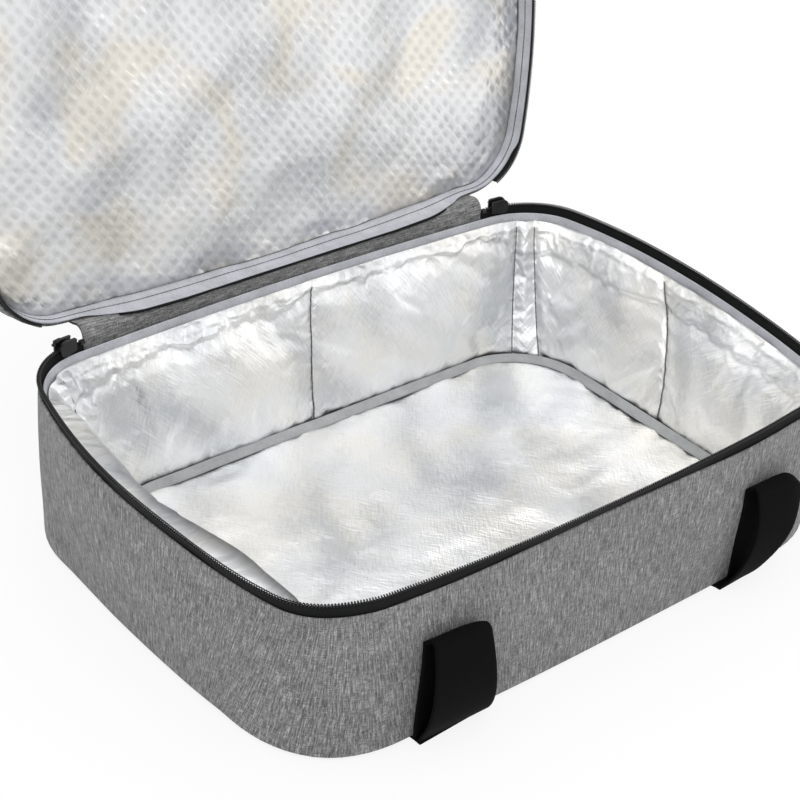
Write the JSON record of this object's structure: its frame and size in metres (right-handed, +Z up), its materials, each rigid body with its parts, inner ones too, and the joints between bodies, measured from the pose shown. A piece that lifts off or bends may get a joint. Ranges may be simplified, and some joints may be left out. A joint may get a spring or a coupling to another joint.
{
  "type": "casserole carrier",
  "caption": "Insulated soft carrier for a baking dish: rounded cloth tub with a zipped cap lid standing open on a cloth hinge, foil lining and folded webbing handles.",
  "frame": {"origin": "middle of the base, on the surface that the carrier stands on", "axes": "+Z up, +X to the right along the long side, -Y the front with the handle that the picture shows; the lid is hinged along the back, +Y"},
  "size_m": [0.42, 0.3775, 0.3824],
  "materials": {
    "heather_cloth": "matt heather weave",
    "zip_tape": "matt woven tape",
    "rim_binding": "satin woven tape",
    "floor_binding": "satin woven tape",
    "webbing": "matt woven webbing",
    "foam": "matt closed-cell foam",
    "foil_lining": "crumpled metallised film",
    "zip_coil": "satin",
    "zip_slider": "satin black"
  },
  "bodies": {
    "tub": {"base_foam": "foam", "base_panel": "heather_cloth", "floor_tape": "floor_binding", "foam_back_left": "foam", "foam_back_right": "foam", "foam_front_left": "foam", "foam_front_right": "foam", "foam_left_back": "foam", "foam_left_front": "foam", "foam_right_back": "foam", "foam_right_front": "foam", "foil_back_left": "foil_lining", "foil_back_right": "foil_lining", "foil_corner_back_left": "foil_lining", "foil_corner_back_right": "foil_lining", "foil_corner_front_left": "foil_lining", "foil_corner_front_right": "foil_lining", "foil_floor": "foil_lining", "foil_front_left": "foil_lining", "foil_front_right": "foil_lining", "foil_left_back": "foil_lining", "foil_left_front": "foil_lining", "foil_right_back": "foil_lining", "foil_right_front": "foil_lining", "hinge_leaf_body": "heather_cloth", "outer_wall": "heather_cloth", "rim_tape": "rim_binding", "strap_back_left": "webbing", "strap_back_right": "webbing", "strap_front_left": "webbing", "strap_front_right": "webbing", "zip_coil_body": "zip_coil", "zip_stop_left": "zip_coil", "zip_stop_right": "zip_coil", "zip_tape_body": "zip_tape"},
    "lid": {"hinge_leaf_lid": "heather_cloth", "lid_band": "heather_cloth", "lid_facing": "rim_binding", "lid_foam": "foam", "lid_foil": "foil_lining", "lid_panel": "heather_cloth", "zip_coil_lid": "zip_coil", "zip_tape_lid": "zip_tape"},
    "slider_left": {"slider_left": "zip_slider"},
    "slider_right": {"slider_right": "zip_slider"},
    "pull_left": {"pull_left": "zip_slider"},
    "pull_right": {"pull_right": "zip_slider"},
    "front_legs": {"handle_leg_front_left": "webbing", "handle_leg_front_right": "webbing"},
    "back_legs": {"handle_leg_back_left": "webbing", "handle_leg_back_right": "webbing"},
    "front_grip": {"handle_grip_front": "webbing"},
    "back_grip": {"handle_grip_back": "webbing"}
  },
  "joints": [
    {"name": "lid_hinge", "type": "hinge", "parent": "tub", "child": "lid", "pos_m": [0, 0.1448, 0.0991], "axis": [1, 0, 0], "range_deg": [-74.35, 100.65]},
    {"name": "slider_left_run", "type": "hinge", "parent": "tub", "child": "slider_left", "pos_m": [-0.153, 0.095, 0.0991], "axis": [0, 0, 1], "range_deg": [0, 50]},
    {"name": "slider_right_run", "type": "hinge", "parent": "tub", "child": "slider_right", "pos_m": [0.153, 0.095, 0.0991], "axis": [0, 0, -1], "range_deg": [0, 50]},
    {"name": "pull_left_swing", "type": "hinge", "parent": "slider_left", "child": "pull_left", "pos_m": [-0.16394, 0.1424, 0.0991], "axis": [0.9744, 0.225, 0], "range_deg": [0, 85]},
    {"name": "pull_right_swing", "type": "hinge", "parent": "slider_right", "child": "pull_right", "pos_m": [0.16394, 0.1424, 0.0991], "axis": [0.9744, -0.225, 0], "range_deg": [0, 85]},
    {"name": "front_legs_fold", "type": "hinge", "parent": "tub", "child": "front_legs", "pos_m": [0, -0.15035, 0.058], "axis": [-1, 0, 0], "range_deg": [0, 170]},
    {"name": "back_legs_fold", "type": "hinge", "parent": "tub", "child": "back_legs", "pos_m": [0, 0.15035, 0.058], "axis": [1, 0, 0], "range_deg": [0, 140]},
    {"name": "front_grip_bend", "type": "hinge", "parent": "front_legs", "child": "front_grip", "pos_m": [0, -0.1466, 0.00095], "axis": [-1, 0, 0], "range_deg": [0, 90]},
    {"name": "back_grip_bend", "type": "hinge", "parent": "back_legs", "child": "back_grip", "pos_m": [0, 0.1466, 0.00095], "axis": [1, 0, 0], "range_deg": [0, 90]}
  ]
}
